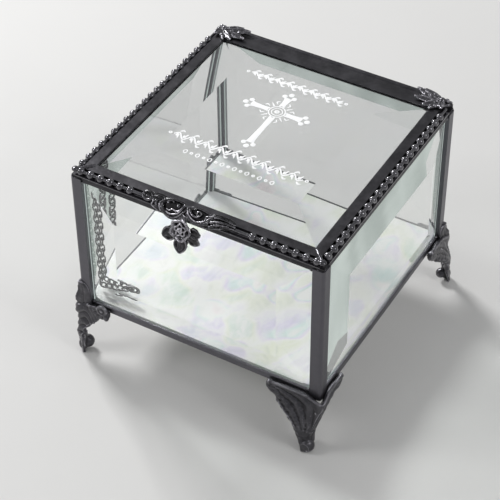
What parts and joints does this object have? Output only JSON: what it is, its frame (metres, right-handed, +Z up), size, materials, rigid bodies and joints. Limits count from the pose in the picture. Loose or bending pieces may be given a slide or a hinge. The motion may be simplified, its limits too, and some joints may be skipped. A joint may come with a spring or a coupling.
{
  "type": "casket box",
  "caption": "Square bevelled-glass keepsake casket in a dark soldered metal frame, with a hinged beaded lid, filigree lift, lid chain, pearly base and four cast leaf feet.",
  "frame": {"origin": "centre of the footprint at table level, under the four feet", "axes": "+Z up, the front with the filigree lift faces -Y, the hinge is at +Y"},
  "size_m": [0.1174, 0.1197, 0.098],
  "materials": {
    "clear_glass": "clear, bevelled, faint green edges",
    "pearl_glass": "iridescent, milky, pale green, pink and lavender",
    "patina_metal": "soldered metal with a dark patina, semi-gloss",
    "worn_metal": "grey metal, patina worn silvery on the high places"
  },
  "bodies": {
    "case": {"front_glass": "clear_glass", "right_glass": "clear_glass", "back_glass": "clear_glass", "left_glass": "clear_glass", "base_glass": "pearl_glass", "front_left_post": "patina_metal", "front_right_post": "patina_metal", "rear_right_post": "patina_metal", "rear_left_post": "patina_metal", "front_bottom_rail": "patina_metal", "right_bottom_rail": "patina_metal", "back_bottom_rail": "patina_metal", "left_bottom_rail": "patina_metal", "front_top_rail": "patina_metal", "right_top_rail": "patina_metal", "back_top_rail": "patina_metal", "left_top_rail": "patina_metal", "front_left_foot": "patina_metal", "front_right_foot": "patina_metal", "rear_right_foot": "patina_metal", "rear_left_foot": "patina_metal", "hinge_rod": "worn_metal", "case_chain_eye": "worn_metal"},
    "lid": {"lid_glass": "clear_glass", "front_lid_came": "patina_metal", "right_lid_came": "patina_metal", "back_lid_came": "patina_metal", "left_lid_came": "patina_metal", "front_bead_wire": "worn_metal", "right_bead_wire": "worn_metal", "left_bead_wire": "worn_metal", "hinge_tube": "patina_metal", "filigree_lift": "worn_metal", "rose_drop": "worn_metal", "rear_left_leaf": "worn_metal", "rear_right_leaf": "worn_metal", "lid_chain_eye": "worn_metal"},
    "case_chain_run": {"case_chain_run": "worn_metal"},
    "case_chain_slack": {"case_chain_slack": "worn_metal"},
    "lid_chain_run": {"lid_chain_run": "worn_metal"},
    "lid_chain_slack": {"lid_chain_slack": "worn_metal"}
  },
  "joints": [
    {"name": "lid_hinge", "type": "hinge", "parent": "case", "child": "lid", "pos_m": [0, 0.05545, 0.094], "axis": [-1, 0, 0], "range_deg": [0, 95]},
    {"name": "case_run", "type": "hinge", "parent": "case", "child": "case_chain_run", "pos_m": [-0.0482, -0.04025, 0.0888], "axis": [1, 0, 0], "range_deg": [0, 136.7]},
    {"name": "case_slack", "type": "hinge", "parent": "case_chain_run", "child": "case_chain_slack", "pos_m": [-0.0482, -0.04025, 0.0318], "axis": [0.1158, 0.9933, 0], "range_deg": [0, 95.95]},
    {"name": "lid_run", "type": "hinge", "parent": "lid", "child": "lid_chain_run", "pos_m": [-0.0482, -0.0447, 0.0889], "axis": [1, 0, 0], "range_deg": [0, 51.7]},
    {"name": "lid_slack", "type": "hinge", "parent": "lid_chain_run", "child": "lid_chain_slack", "pos_m": [-0.0482, -0.0447, 0.0319], "axis": [-0.1176, 0.9931, 0], "range_deg": [0, 101.59]}
  ],
  "couplings": [
    {"joint": "case_run", "follows": "lid_hinge", "ratio": 1.4389},
    {"joint": "case_slack", "follows": "lid_hinge", "ratio": 1.01},
    {"joint": "lid_run", "follows": "lid_hinge", "ratio": 0.54418},
    {"joint": "lid_slack", "follows": "lid_hinge", "ratio": 1.0694}
  ]
}
